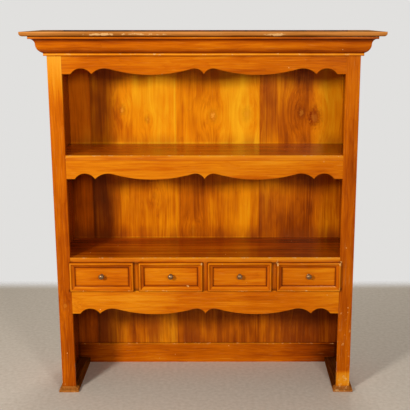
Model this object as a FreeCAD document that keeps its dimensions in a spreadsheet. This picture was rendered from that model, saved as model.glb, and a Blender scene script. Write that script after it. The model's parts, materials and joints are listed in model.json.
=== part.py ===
import FreeCAD, Part
import os
import Sketcher
from math import atan2, hypot, pi
from types import SimpleNamespace

# An open display hutch in varnished timber: two housed shelves between stiled sides, a mitred
# cornice with an open well, scalloped rails, a row of four lipped drawers and sledge feet.
# Millimetres, +Z up, the front faces -Y, origin on the floor under the middle of the cornice.

SIZES = {
    # carcass
    "carcass_width": 1200,
    "carcass_depth": 322,
    "overall_height": 1475,
    "side_thickness": 20,
    "stile_width": 55,
    "frame_thickness": 20,
    "shelf_thickness": 20,
    "housing_depth": 6,
    "upper_shelf_top": 999,
    "lower_shelf_top": 582,
    "top_board_thickness": 15,
    "well_depth": 55,
    # back
    "back_thickness": 12,
    "back_rebate": 10,
    "back_lap": 8,
    "filler_width": 98,
    "plinth_rail_height": 88,
    "plinth_rail_thickness": 16,
    # scalloped rails and their joints
    "frieze_height": 143.5,
    "upper_apron_height": 74,
    "lower_apron_height": 99,
    "scallop_rise": 22,
    "belly_drop": 2.5,
    "centre_arch": 36,
    "outer_arch": 164.5,
    "outer_cusp": 113,
    "end_flat": 33,
    "tenon_length": 25,
    "tenon_thickness": 8,
    "tenon_shoulder": 12,
    "mortise_gap": 1,
    # cornice
    "cap_thickness": 17,
    "cap_overhang": 82,
    "cap_round": 11,
    "cap_seat": 10,
    "crown_height": 74,
    "crown_projection": 56.5,
    "crown_fillet": 10,
    "crown_lip": 7.5,
    "crown_waist": 34,
    "crown_waist_height": 44,
    "crown_bead": 10.5,
    "crown_bead_height": 11,
    # feet
    "foot_overhang": 13,
    "foot_plinth": 10,
    "foot_bead": 5,
    "foot_bead_setback": 3.5,
    "foot_bead_quirk": 1,
    "foot_cove": 7,
    # drawer case
    "drawer_opening_height": 120,
    "deck_thickness": 12,
    "muntin_width": 28,
    "partition_thickness": 20,
    "guide_height": 24,
    # drawers
    "running_gap": 0.3,
    "drawer_clearance": 1.5,
    "drawer_rear_gap": 20,
    "drawer_front_thickness": 18,
    "drawer_lap": 10,
    "drawer_side_thickness": 10,
    "drawer_side_drop": 6,
    "drawer_back_thickness": 10,
    "drawer_back_setback": 12,
    "drawer_bottom_thickness": 5,
    "drawer_bottom_height": 8,
    "drawer_groove": 4,
    # moulding round each drawer front
    "lip_side": 4,
    "lip_height": 1.5,
    "moulding_width": 22,
    "moulding_height": 14,
    "moulding_nose": 7,
    "moulding_edge": 3,
    "moulding_hollow": 30,
    # knobs
    "knob_diameter": 22,
    "knob_projection": 25,
    "knob_face": 16,
    "knob_bevel_height": 4,
    "knob_rim_height": 16,
    "knob_neck": 9,
    "knob_rose": 16,
    "knob_rose_height": 3,
    "knob_rise": 4,
    "knob_spigot": 5,
    "knob_spigot_length": 12,
}

LEFT = -1
RIGHT = 1
DRAWERS = 4


class Dim:
    """A length known both as a sheet expression and as a number."""

    def __init__(self, text, value):
        self.text = text
        self.value = value

    def __add__(self, other):
        other = as_dim(other)
        return Dim(f"({self.text} + {other.text})", self.value + other.value)

    def __sub__(self, other):
        other = as_dim(other)
        return Dim(f"({self.text} - {other.text})", self.value - other.value)

    def __mul__(self, other):
        other = as_dim(other)
        return Dim(f"({self.text} * {other.text})", self.value * other.value)

    def __truediv__(self, other):
        other = as_dim(other)
        return Dim(f"({self.text} / {other.text})", self.value / other.value)

    def __rsub__(self, other):
        return as_dim(other) - self

    def __neg__(self):
        return as_dim(0) - self

    __radd__ = __add__
    __rmul__ = __mul__


def as_dim(length):
    if isinstance(length, Dim):
        return length
    return Dim(repr(length), length)


doc = FreeCAD.newDocument("hutch")
sheet = doc.addObject("Spreadsheet::Sheet", "dims")
for row, (alias, size) in enumerate(SIZES.items(), start=1):
    sheet.set(f"A{row}", alias)
    sheet.set(f"B{row}", str(size))
    sheet.setAlias(f"B{row}", alias)
doc.recompute()
d = SimpleNamespace(**{alias: Dim(f"dims.{alias}", float(sheet.get(alias))) for alias in SIZES})

nodes = []


# Drawing helpers


def bind(obj, prop, length):
    obj.setExpression(prop, as_dim(length).text)


def place(obj, x, y, z):
    for axis, length in zip("xyz", (x, y, z)):
        bind(obj, f"Placement.Base.{axis}", length)


def keep(obj, label):
    """Make an object a sub-part under its own name."""
    obj.Label = label
    nodes.append(obj)
    return obj


def block(name, x, y, z):
    """A rectangular block between a low and a high limit on each axis."""
    box = doc.addObject("Part::Box", name)
    for prop, (low, high) in zip(("Length", "Width", "Height"), (x, y, z)):
        bind(box, prop, high - low)
    place(box, x[0], y[0], z[0])
    return box


def cut(label, blank, tools):
    """A board with housings, rebates or notches taken out of it."""
    waste = doc.addObject("Part::Compound", f"{label}_waste")
    waste.Links = tools
    board = doc.addObject("Part::Cut", f"{label}_cut")
    board.Base = blank
    board.Tool = waste
    return keep(board, label)


def across(side, near, far):
    """Limits in X on the left or the right of the middle."""
    return (near, far) if side == RIGHT else (-far, -near)


def new_body(name):
    return doc.addObject("PartDesign::Body", name)


def origin_feature(body, role):
    return next(feature for feature in body.Origin.OriginFeatures if feature.Role == role)


def arc_centre(start, end, axis, level):
    """The point on the line axis = level that lies as far from start as from end."""
    if axis == "x":
        rise = (start.x - level) ** 2 - (end.x - level) ** 2 + start.y ** 2 - end.y ** 2
        return FreeCAD.Vector(level, rise / (2 * (start.y - end.y)), 0)
    run = (start.y - level) ** 2 - (end.y - level) ** 2 + start.x ** 2 - end.x ** 2
    return FreeCAD.Vector(run / (2 * (start.x - end.x)), level, 0)


def stretch(start, end, bend):
    """The line or the shorter arc between two corners, with the order of its two ends."""
    if bend is None:
        return Part.LineSegment(start, end), (1, 2)
    centre = arc_centre(start, end, bend[0], as_dim(bend[1]).value)
    circle = Part.Circle(centre, FreeCAD.Vector(0, 0, 1), hypot(start.x - centre.x, start.y - centre.y))
    first = atan2(start.y - centre.y, start.x - centre.x)
    last = atan2(end.y - centre.y, end.x - centre.x)
    if (last - first) % (2 * pi) < pi:
        return Part.ArcOfCircle(circle, first, last), (1, 2)
    return Part.ArcOfCircle(circle, last, first), (2, 1)


def draw(body, name, plane, corners):
    """A closed outline on one of the body's own planes.

    A corner is (x, y), or (x, y, bend) where the stretch after it is an arc: bend is the axis and
    the level of a line that the arc's centre lies on.
    """
    sketch = body.newObject("Sketcher::SketchObject", name)
    sketch.AttachmentSupport = (origin_feature(body, plane), [""])
    sketch.MapMode = "FlatFace"
    points = [FreeCAD.Vector(as_dim(corner[0]).value, as_dim(corner[1]).value, 0) for corner in corners]
    bends = [corner[2] if len(corner) == 3 else None for corner in corners]
    ends = []
    for index, bend in enumerate(bends):
        curve, order = stretch(points[index], points[(index + 1) % len(points)], bend)
        sketch.addGeometry(curve)
        ends.append(order)

    def fix(kind, index, point, length):
        number = sketch.addConstraint(Sketcher.Constraint(kind, index, point, as_dim(length).value))
        bind(sketch, f"Constraints[{number}]", length)

    for index, corner in enumerate(corners):
        before = index - 1 if index else len(corners) - 1
        sketch.addConstraint(Sketcher.Constraint("Coincident", before, ends[before][1], index, ends[index][0]))
        fix("DistanceX", index, ends[index][0], corner[0])
        fix("DistanceY", index, ends[index][0], corner[1])
        if bends[index]:
            axis, level = bends[index]
            fix(f"Distance{axis.upper()}", index, 3, level)
    return sketch


def pad(body, sketch, length, side="One side", reverse=False):
    feature = body.newObject("PartDesign::Pad", f"{sketch.Name}_pad")
    feature.Profile = sketch
    feature.SideType = side
    feature.Reversed = reverse
    bind(feature, "Length", length)
    return feature


def pocket(body, sketch):
    """Cut the outline right through the body, both ways from its plane."""
    doc.recompute()
    before = body.Shape.Volume
    feature = body.newObject("PartDesign::Pocket", f"{sketch.Name}_pocket")
    feature.Profile = sketch
    feature.SideType = "Symmetric"
    feature.Type = "ThroughAll"
    doc.recompute()
    if body.Shape.Volume >= before:
        raise RuntimeError(f"{sketch.Name} cuts nothing")
    return feature


def mirror(body, features):
    """Repeat features on the other side of the middle plane."""
    feature = body.newObject("PartDesign::Mirrored", f"{body.Name}_mirror")
    feature.Originals = features
    feature.MirrorPlane = (origin_feature(body, "YZ_Plane"), [""])
    body.Tip = feature
    return feature


# Places that several pieces share


front = (d.cap_overhang - d.carcass_depth) / 2
back = front + d.carcass_depth
frame_back = front + d.frame_thickness
boards_front = back - d.back_thickness
half_width = d.carcass_width / 2
inner_side = half_width - d.side_thickness
inner_stile = half_width - d.stile_width
housed = inner_side + d.housing_depth
rebated = inner_side + d.back_rebate
foot_height = d.foot_plinth + d.foot_bead + d.foot_cove
carcass_top = d.overall_height - d.cap_thickness
top_board_top = carcass_top - d.well_depth
upper_shelf_bottom = d.upper_shelf_top - d.shelf_thickness
opening_top = d.lower_shelf_top - d.shelf_thickness
deck_top = opening_top - d.drawer_opening_height
muntin_count = DRAWERS - 1
opening_width = (2 * inner_stile - muntin_count * d.muntin_width) / DRAWERS
drawer_pitch = opening_width + d.muntin_width

# Each housed board: its name, underside and top
HOUSED_BOARDS = {
    "drawer_deck": (deck_top - d.deck_thickness, deck_top),
    "lower_shelf": (opening_top, d.lower_shelf_top),
    "upper_shelf": (upper_shelf_bottom, d.upper_shelf_top),
    "top_board": (top_board_top - d.top_board_thickness, top_board_top),
}

# Each scalloped rail: its name, top and height
SCALLOPED_RAILS = {
    "lower_apron": (deck_top, d.lower_apron_height),
    "upper_apron": (upper_shelf_bottom, d.upper_apron_height),
    "frieze_rail": (carcass_top, d.frieze_height),
}


def partition_place(number):
    """Middle of a muntin and of the partition behind it, counted from the left."""
    return drawer_pitch * (number - (muntin_count + 1) / 2)


def drawer_place(number):
    """Middle of a drawer, counted from the left."""
    return drawer_pitch * (number - (DRAWERS + 1) / 2)


# Carcass


def make_side(name, side):
    """A side panel, housed for the shelves and rebated for the back boards."""
    panel = block(f"{name}_panel", across(side, inner_side, half_width), (frame_back, back),
                  (foot_height, carcass_top))
    waste = [block(f"{name}_rebate", across(side, inner_side, rebated), (boards_front, back),
                   (foot_height, carcass_top))]
    for board, levels in HOUSED_BOARDS.items():
        waste.append(block(f"{name}_housing_{board}", across(side, inner_side, housed),
                           (frame_back, boards_front), levels))
    cut(name, panel, waste)


def make_stile(name, side):
    """A front stile with a mortise for each rail's tenon."""
    post = block(f"{name}_post", across(side, inner_stile, half_width), (front, frame_back),
                 (foot_height, carcass_top))
    cheek = (d.frame_thickness - d.tenon_thickness) / 2
    mortise_end = inner_stile + d.tenon_length + d.mortise_gap
    mortises = []
    for rail, (top, height) in SCALLOPED_RAILS.items():
        levels = (top - height + d.tenon_shoulder, top - d.tenon_shoulder)
        mortises.append(block(f"{name}_mortise_{rail}", across(side, inner_stile, mortise_end),
                              (front + cheek, frame_back - cheek), levels))
    cut(name, post, mortises)


def make_scalloped_rail(name, top, height):
    """A tenoned rail whose lower edge runs in arches, cusps and a broad belly.

    One half is drawn from the middle cusp outwards and mirrored. The arches rise by scallop_rise,
    and the belly is the one arc that touches both of its neighbours and dips by belly_drop.
    """
    rise = d.scallop_rise
    outer_peak = inner_stile - d.outer_arch
    outer_cusp = inner_stile - d.outer_cusp
    end_flat = inner_stile - d.end_flat
    centre_radius = (d.centre_arch * d.centre_arch + rise * rise) / (2 * rise)
    outer_run = outer_cusp - outer_peak
    outer_radius = (outer_run * outer_run + rise * rise) / (2 * rise)
    end_run = (end_flat - outer_cusp) / 2
    end_radius = (end_run * end_run + rise * rise) / (2 * rise)
    swing = rise + d.belly_drop
    span = outer_peak - d.centre_arch
    inner_run = span / 2 + swing * (centre_radius - outer_radius) / span
    belly_middle = d.centre_arch + inner_run
    belly_radius = (inner_run * inner_run + swing * swing) / (2 * swing) - centre_radius
    belly_level = belly_radius - d.belly_drop

    def touch(peak, radius):
        """Where the belly's arc meets the arch with this peak and radius."""
        share = radius / (radius + belly_radius)
        level = rise - radius
        return peak + share * (belly_middle - peak), level + share * (belly_level - level)

    body = new_body(name)
    outline = draw(body, f"{name}_outline", "XZ_Plane", [
        (0, 0, ("x", d.centre_arch)),
        (*touch(d.centre_arch, centre_radius), ("x", belly_middle)),
        (*touch(outer_peak, outer_radius), ("x", outer_peak)),
        (outer_cusp, 0, ("y", rise - end_radius)),
        (end_flat, 0),
        (inner_stile, 0),
        (inner_stile, height),
        (0, height),
    ])
    board = pad(body, outline, d.frame_thickness, reverse=True)
    tenon_end = inner_stile + d.tenon_length
    cheeks = draw(body, f"{name}_tenon", "XZ_Plane", [
        (inner_stile, d.tenon_shoulder),
        (tenon_end, d.tenon_shoulder),
        (tenon_end, height - d.tenon_shoulder),
        (inner_stile, height - d.tenon_shoulder),
    ])
    bind(cheeks, "AttachmentOffset.Base.z", (d.tenon_thickness - d.frame_thickness) / 2)
    tenon = pad(body, cheeks, d.tenon_thickness, reverse=True)
    mirror(body, [board, tenon])
    place(body, 0, front, top - height)
    keep(body, name)


def make_shelf(name, levels, waste):
    """A shelf housed in both sides, its front edge flush between the stiles."""
    plank = block(f"{name}_plank", (-housed, housed), (front, boards_front), levels)
    notches = [block(f"{name}_notch_{side}", across(side, inner_stile, housed), (front, frame_back), levels)
               for side in (LEFT, RIGHT)]
    cut(name, plank, notches + waste)


def partition_housings(name, levels):
    """Housings across a board for the partitions between the drawers."""
    half = d.partition_thickness / 2
    return [block(f"{name}_housing_{number}", (partition_place(number) - half, partition_place(number) + half),
                  (frame_back, boards_front), levels)
            for number in range(1, DRAWERS)]


def make_shelves():
    make_shelf("upper_shelf", HOUSED_BOARDS["upper_shelf"], [])
    make_shelf("lower_shelf", HOUSED_BOARDS["lower_shelf"],
               partition_housings("lower_shelf", (opening_top, opening_top + d.housing_depth)))
    deck = block("deck_plank", (-housed, housed), (frame_back, boards_front), HOUSED_BOARDS["drawer_deck"])
    cut("drawer_deck", deck, partition_housings("drawer_deck", (deck_top - d.housing_depth, deck_top)))
    top = block("top_plank", (-housed, housed), (frame_back, boards_front), HOUSED_BOARDS["top_board"])
    keep(top, "top_board")


def make_dividers():
    """Muntins in the front, and the partitions behind them."""
    half_muntin = d.muntin_width / 2
    half_partition = d.partition_thickness / 2
    for number in range(1, DRAWERS):
        middle = partition_place(number)
        muntin = block(f"muntin_block_{number}", (middle - half_muntin, middle + half_muntin),
                       (front, frame_back), (deck_top, opening_top))
        keep(muntin, f"muntin_{number}")
        partition = block(f"partition_block_{number}", (middle - half_partition, middle + half_partition),
                          (frame_back, boards_front),
                          (deck_top - d.housing_depth, opening_top + d.housing_depth))
        keep(partition, f"partition_{number}")


def make_drawer_guides():
    """Strips on the deck that bring each drawer's way in to the width of its opening."""
    half_partition = d.partition_thickness / 2
    levels = (deck_top, deck_top + d.guide_height)
    strips = []
    for number in range(1, DRAWERS + 1):
        left_limit = drawer_place(number) - opening_width / 2
        right_limit = drawer_place(number) + opening_width / 2
        left_back = -inner_side if number == 1 else partition_place(number - 1) + half_partition
        right_back = inner_side if number == DRAWERS else partition_place(number) - half_partition
        for hand, limits in (("left", (left_back, left_limit)), ("right", (right_limit, right_back))):
            strips.append(block(f"guide_{number}_{hand}", limits, (frame_back, boards_front), levels))
    group = doc.addObject("Part::Compound", "guide_group")
    group.Links = strips
    keep(group, "drawer_guides")


def make_back():
    """Three wide boards and a filler, rebated to lap each other, and the plinth rail at their foot."""
    levels = (foot_height, d.overall_height)
    wide = (2 * rebated - d.filler_width) / 3
    joints = [-rebated, d.filler_width - rebated, d.filler_width - rebated + wide, rebated - wide, rebated]
    half_thickness = d.back_thickness / 2
    last = len(joints) - 1
    for number in range(1, last + 1):
        left_edge = joints[number - 1]
        right_edge = joints[number]
        name = f"back_board_{number}"
        overlap = right_edge if number == last else right_edge + d.back_lap
        plank = block(f"{name}_plank", (left_edge, overlap), (boards_front, back), levels)
        laps = []
        if number > 1:
            laps.append(block(f"{name}_left_lap", (left_edge, left_edge + d.back_lap),
                              (boards_front + half_thickness, back), levels))
        if number < last:
            laps.append(block(f"{name}_right_lap", (right_edge, overlap),
                              (boards_front, boards_front + half_thickness), levels))
        cut(name, plank, laps)
    rail_front = boards_front - d.plinth_rail_thickness
    rail = block("plinth_rail_plank", (-inner_side, inner_side), (rail_front, boards_front),
                 (0, d.plinth_rail_height))
    foot_edge = inner_stile - d.foot_overhang
    notches = [block(f"plinth_rail_notch_{side}", across(side, foot_edge, inner_side),
                     (rail_front, boards_front), (0, foot_height)) for side in (LEFT, RIGHT)]
    cut("back_plinth_rail", rail, notches)


# Feet


def foot_moulding(stand):
    """Corners of the foot's edge from its plinth up: stand is the stile's face, the edge runs outwards."""
    bead_foot = d.foot_overhang - d.foot_bead_setback
    bead_top = d.foot_plinth + d.foot_bead
    return [
        (stand + d.foot_overhang, d.foot_plinth),
        (stand + bead_foot, d.foot_plinth, ("x", stand + bead_foot - d.foot_bead_quirk)),
        (stand + bead_foot, bead_top, ("x", stand + bead_foot)),
        (stand, foot_height),
    ]


def turned_round(corners):
    """The same run of corners on the other side of zero, in the opposite order."""
    flipped = [(-corner[0], corner[1]) for corner in reversed(corners)]
    for index, corner in enumerate(corners[:-1]):
        if len(corner) == 3:
            axis, level = corner[2]
            place_there = len(corners) - 2 - index
            flipped[place_there] = (*flipped[place_there], (axis, -level))
    return flipped


def make_foot(name, side):
    """A sledge foot: its edge is moulded along both sides and across the front."""
    half = d.stile_width / 2
    body = new_body(name)
    edge = foot_moulding(half)
    section = draw(body, f"{name}_section", "XZ_Plane",
                   [(-half - d.foot_overhang, 0), (half + d.foot_overhang, 0)] + edge + turned_round(edge))
    bind(section, "AttachmentOffset.Base.z", d.foot_overhang)
    pad(body, section, d.carcass_depth + d.foot_overhang, reverse=True)
    nose = turned_round(foot_moulding(0))
    pocket(body, draw(body, f"{name}_nose", "YZ_Plane", nose + [(-d.foot_overhang, foot_height)]))
    place(body, side * (half_width - half), front, 0)
    keep(body, name)


# Cornice


def crown_section():
    """Crown moulding, outwards from the carcass: bead, ovolo, cavetto and top fillet."""
    fillet_foot = d.crown_height - d.crown_fillet
    return [
        (0, 0),
        (d.crown_bead, 0),
        (d.crown_bead, d.crown_bead_height, ("y", d.crown_waist_height)),
        (d.crown_waist, d.crown_waist_height, ("y", d.crown_waist_height)),
        (d.crown_projection - d.crown_lip, fillet_foot),
        (d.crown_projection, fillet_foot),
        (d.crown_projection, d.crown_height),
        (0, d.crown_height),
    ]


def cap_section():
    """Cap board, outwards from the carcass, with a rounded lower edge."""
    return [
        (-d.cap_seat, 0),
        (d.cap_overhang - d.cap_round, 0, ("x", d.cap_overhang - d.cap_round)),
        (d.cap_overhang, d.cap_round),
        (d.cap_overhang, d.cap_thickness),
        (-d.cap_seat, d.cap_thickness),
    ]


def outwards(corners, side):
    """A section drawn outwards, turned to run along +1 or -1 on its plane."""
    turned = []
    for corner in corners:
        bend = corner[2:]
        if bend and bend[0][0] == "x":
            bend = (("x", side * bend[0][1]),)
        turned.append((side * corner[0], corner[1], *bend))
    return turned


def make_mitred_front(name, section, inner, outer, level):
    """The front run of a moulding, mitred at both ends on the corners of the carcass."""
    body = new_body(name)
    run = draw(body, f"{name}_section", "YZ_Plane", outwards(section, -1))
    pad(body, run, 2 * (half_width + outer), side="Symmetric")
    waste = draw(body, f"{name}_mitre", "XY_Plane", [
        (half_width + inner, -inner),
        (half_width + outer, -inner),
        (half_width + outer, -outer),
    ])
    mirror(body, [pocket(body, waste)])
    place(body, 0, front, level)
    keep(body, name)


def make_mitred_return(name, section, inner, outer, level, side):
    """The run along one side, mitred at its front end and square at the back."""
    body = new_body(name)
    run = draw(body, f"{name}_section", "XZ_Plane", outwards(section, side))
    bind(run, "AttachmentOffset.Base.z", outer)
    pad(body, run, d.carcass_depth + outer, reverse=True)
    waste = draw(body, f"{name}_mitre", "XY_Plane", [
        (side * inner, -inner),
        (side * inner, -outer),
        (side * outer, -outer),
    ])
    pocket(body, waste)
    place(body, side * half_width, front, level)
    keep(body, name)


def make_cornice():
    crown_level = carcass_top - d.crown_height
    make_mitred_front("crown_front", crown_section(), as_dim(0), d.crown_projection, crown_level)
    make_mitred_front("cap_front", cap_section(), -d.cap_seat, d.cap_overhang, carcass_top)
    for hand, side in (("left", LEFT), ("right", RIGHT)):
        make_mitred_return(f"crown_{hand}", crown_section(), as_dim(0), d.crown_projection, crown_level, side)
        make_mitred_return(f"cap_{hand}", cap_section(), -d.cap_seat, d.cap_overhang, carcass_top, side)


# Drawers


drawer_face = front - d.running_gap
drawer_foot = deck_top + d.running_gap
drawer_top = opening_top - d.drawer_clearance
drawer_half = opening_width / 2 - d.drawer_clearance
drawer_inner = drawer_half - d.drawer_side_thickness
drawer_grooved = drawer_inner + d.drawer_groove
drawer_front_back = drawer_face + d.drawer_front_thickness
drawer_lap_face = drawer_front_back - d.drawer_lap
drawer_end = boards_front - d.drawer_rear_gap
drawer_back_end = drawer_end - d.drawer_back_setback
drawer_back_face = drawer_back_end - d.drawer_back_thickness
bottom_levels = (drawer_foot + d.drawer_bottom_height,
                 drawer_foot + d.drawer_bottom_height + d.drawer_bottom_thickness)
drawer_side_top = drawer_top - d.drawer_side_drop
knob_level = (deck_top + opening_top) / 2 + d.knob_rise


def shifted(limits, middle):
    return limits[0] + middle, limits[1] + middle


def make_drawer_box(name, middle):
    """Front, lapped sides, housed back and grooved bottom."""
    blank = block(f"{name}_front_blank", shifted((-drawer_half, drawer_half), middle),
                  (drawer_face, drawer_front_back), (drawer_foot, drawer_top))
    bore = doc.addObject("Part::Cylinder", f"{name}_bore")
    bind(bore, "Radius", d.knob_spigot / 2)
    bind(bore, "Height", d.knob_spigot_length)
    bore.Placement.Rotation = FreeCAD.Rotation(FreeCAD.Vector(1, 0, 0), -90)
    place(bore, middle, drawer_face, knob_level)
    waste = [bore, block(f"{name}_front_groove", shifted((-drawer_inner, drawer_inner), middle),
                         (drawer_front_back - d.drawer_groove, drawer_front_back), bottom_levels)]
    for side in (LEFT, RIGHT):
        waste.append(block(f"{name}_front_lap_{side}", shifted(across(side, drawer_inner, drawer_half), middle),
                           (drawer_lap_face, drawer_front_back), (drawer_foot, drawer_top)))
    cut(f"{name}_front", blank, waste)

    for hand, side in (("left", LEFT), ("right", RIGHT)):
        label = f"{name}_{hand}_side"
        plank = block(f"{label}_plank", shifted(across(side, drawer_inner, drawer_half), middle),
                      (drawer_lap_face, drawer_end), (drawer_foot, drawer_side_top))
        hollow = shifted(across(side, drawer_inner, drawer_grooved), middle)
        groove = block(f"{label}_groove", hollow, (drawer_front_back - d.drawer_groove, drawer_end), bottom_levels)
        housing = block(f"{label}_housing", hollow, (drawer_back_face, drawer_back_end),
                        (bottom_levels[1], drawer_side_top))
        cut(label, plank, [groove, housing])

    inside = shifted((-drawer_grooved, drawer_grooved), middle)
    keep(block(f"{name}_back_plank", inside, (drawer_back_face, drawer_back_end),
               (bottom_levels[1], drawer_side_top)), f"{name}_back")
    keep(block(f"{name}_bottom_sheet", inside, (drawer_front_back - d.drawer_groove, drawer_end),
               bottom_levels), f"{name}_bottom")


def make_moulding_stick(name, length):
    """One stick of a drawer's moulding, lying along X with its outer edge down, mitred at both ends."""
    shoulder = d.moulding_height - d.moulding_nose
    body = new_body(name)
    section = draw(body, f"{name}_section", "YZ_Plane", [
        (0, 0),
        (-shoulder, 0, ("y", d.moulding_nose)),
        (-d.moulding_height, d.moulding_nose, ("y", d.moulding_hollow)),
        (-d.moulding_edge, d.moulding_width),
        (0, d.moulding_width),
    ])
    pad(body, section, length, side="Symmetric")
    waste = draw(body, f"{name}_mitre", "XZ_Plane", [
        (length / 2, 0),
        (length / 2, d.moulding_width),
        (length / 2 - d.moulding_width, d.moulding_width),
    ])
    mirror(body, [pocket(body, waste)])
    return body


def make_drawer_moulding(name, middle):
    """Four mitred sticks that overlap the opening as a lip."""
    half_length = opening_width / 2 + d.lip_side
    low = deck_top - d.lip_height
    high = opening_top + d.lip_height
    mid_level = (low + high) / 2
    sticks = {
        "bottom": (0, 2 * half_length, middle, low),
        "left": (90, high - low, middle - half_length, mid_level),
        "top": (180, 2 * half_length, middle, high),
        "right": (270, high - low, middle + half_length, mid_level),
    }
    bodies = []
    for edge, (turn, length, x, z) in sticks.items():
        body = make_moulding_stick(f"{name}_stick_{edge}", length)
        body.Placement.Rotation = FreeCAD.Rotation(FreeCAD.Vector(0, 1, 0), turn)
        place(body, x, drawer_face, z)
        bodies.append(body)
    group = doc.addObject("Part::Compound", f"{name}_sticks")
    group.Links = bodies
    keep(group, f"{name}_moulding")


def make_knob(name, middle):
    """A turned knob: a tapered rose, a straight neck and a bevelled head on a spigot in the drawer front."""
    body = new_body(f"{name}_knob_turning")
    section = draw(body, f"{name}_knob_section", "XY_Plane", [
        (0, d.knob_spigot_length),
        (0, -d.knob_projection),
        (d.knob_face / 2, -d.knob_projection),
        (d.knob_diameter / 2, d.knob_bevel_height - d.knob_projection),
        (d.knob_diameter / 2, -d.knob_rim_height),
        (d.knob_neck / 2, -d.knob_rim_height),
        (d.knob_neck / 2, -d.knob_rose_height),
        (d.knob_rose / 2, 0),
        (d.knob_spigot / 2, 0),
        (d.knob_spigot / 2, d.knob_spigot_length),
    ])
    turning = body.newObject("PartDesign::Revolution", f"{name}_knob_revolve")
    turning.Profile = section
    turning.ReferenceAxis = (origin_feature(body, "Y_Axis"), [""])
    turning.Angle = 360
    place(body, middle, drawer_face, knob_level)
    keep(body, f"{name}_knob")


def make_drawer(number):
    name = f"drawer_{number}"
    middle = drawer_place(number)
    make_drawer_box(name, middle)
    make_drawer_moulding(name, middle)
    make_knob(name, middle)


for hand, side in (("left", LEFT), ("right", RIGHT)):
    make_side(f"{hand}_side", side)
    make_stile(f"{hand}_stile", side)
    make_foot(f"{hand}_foot", side)
for rail, (top, height) in SCALLOPED_RAILS.items():
    make_scalloped_rail(rail, top, height)
make_shelves()
make_dividers()
make_drawer_guides()
make_back()
make_cornice()
for number in range(1, DRAWERS + 1):
    make_drawer(number)
doc.recompute()

for obj in doc.Objects:
    if "Invalid" in obj.State or "Error" in obj.State:
        raise RuntimeError(f"{obj.Label} failed: {obj.State}")
for node in nodes:
    if node.Shape.isNull() or not node.Shape.isValid() or not node.Shape.Solids:
        raise RuntimeError(f"{node.Label} has no sound shape")

os.makedirs("parts", exist_ok=True)
for node in nodes:
    node.Shape.exportStep(f"parts/{node.Label}.step")
print(len(nodes), "sub-parts,", sum(len(node.Shape.Solids) for node in nodes), "solids")
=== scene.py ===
"""A varnished hutch with two open shelves and four small drawers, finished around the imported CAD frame."""

import json
import math
import random

import bmesh
import bpy
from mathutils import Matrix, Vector, noise
from mathutils.bvhtree import BVHTree
from mathutils.geometry import interpolate_bezier

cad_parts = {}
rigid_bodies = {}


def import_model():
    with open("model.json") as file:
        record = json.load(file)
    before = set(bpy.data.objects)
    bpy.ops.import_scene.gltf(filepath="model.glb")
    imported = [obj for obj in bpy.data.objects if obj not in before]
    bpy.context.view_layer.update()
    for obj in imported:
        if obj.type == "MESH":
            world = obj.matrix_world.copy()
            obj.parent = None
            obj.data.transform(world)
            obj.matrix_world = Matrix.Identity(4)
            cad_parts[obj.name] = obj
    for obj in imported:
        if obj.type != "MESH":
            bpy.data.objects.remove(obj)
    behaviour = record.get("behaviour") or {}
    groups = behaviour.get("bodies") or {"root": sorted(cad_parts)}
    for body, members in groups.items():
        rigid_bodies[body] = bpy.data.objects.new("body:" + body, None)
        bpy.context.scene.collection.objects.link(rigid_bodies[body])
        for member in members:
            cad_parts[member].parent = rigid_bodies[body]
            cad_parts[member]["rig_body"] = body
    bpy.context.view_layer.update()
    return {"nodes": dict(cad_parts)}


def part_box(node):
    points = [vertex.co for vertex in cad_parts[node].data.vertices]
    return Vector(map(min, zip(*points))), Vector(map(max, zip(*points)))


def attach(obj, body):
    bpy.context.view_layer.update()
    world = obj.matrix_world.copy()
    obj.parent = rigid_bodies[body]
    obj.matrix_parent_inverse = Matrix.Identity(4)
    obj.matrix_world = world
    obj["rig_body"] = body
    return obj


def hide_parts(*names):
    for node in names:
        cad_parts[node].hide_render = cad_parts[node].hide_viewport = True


MM = 0.001
X, Y, Z = 0, 1, 2

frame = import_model()
scene = bpy.context.scene
dice = random.Random(7)


# Places on the object, in metres

def start_of(node, axis):
    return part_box(node)[0][axis]


def end_of(node, axis):
    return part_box(node)[1][axis]


BACK_BOARDS = ["back_board_1", "back_board_2", "back_board_3", "back_board_4"]
FILLER_BOARD = BACK_BOARDS[0]
LOWER_TOP = end_of("lower_shelf", Z)
UPPER_TOP = end_of("upper_shelf", Z)
SHELF_TOPS = (LOWER_TOP, UPPER_TOP)
SHELF_NOSE = -0.1165  # just behind the rounded front edge of a shelf
LOW_BAY_TOP = end_of("drawer_deck", Z) + 8 * MM
MIDDLE_BAY_TOP = UPPER_TOP - 9 * MM
TRAY_FLOOR = end_of("top_board", Z)  # the cornice makes a tray on the top board
REAR_FACE = end_of(FILLER_BOARD, Y)
INNER_FACE = start_of("right_side", X)
LEDGE_EDGE = 0.581  # the inner run of a foot, seen beside the side panel
LEDGE_FRONT = -0.098
CROWN_FOOT = start_of("crown_front", Z)
CAP_FOOT = start_of("cap_front", Z)
RAIL_EDGE = 0.0862  # just under the top of the plinth rail
HALF_SEAM = 1.2 * MM  # half the width of the line that shows where two back boards meet
DUST_AND_SHEEN_LINE = 3.0 * MM  # height of the pale line, partly dust and partly a painted highlight, where a back board meets a shelf
NOSE_LINE = 2.8 * MM  # depth of the worn line, also painted pale as a painted highlight, along the top of a shelf's front edge
HAIR = 0.2 * MM  # slack, so that a point on a cut counts as inside it


# Nodes of materials and of the room's light

def srgb(red, green, blue):
    """A colour as it looks on screen, 0 to 255, given to a shader as linear light."""
    def linear(level):
        level /= 255
        return level / 12.92 if level <= 0.04045 else ((level + 0.055) / 1.055) ** 2.4
    return (linear(red), linear(green), linear(blue), 1.0)


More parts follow.
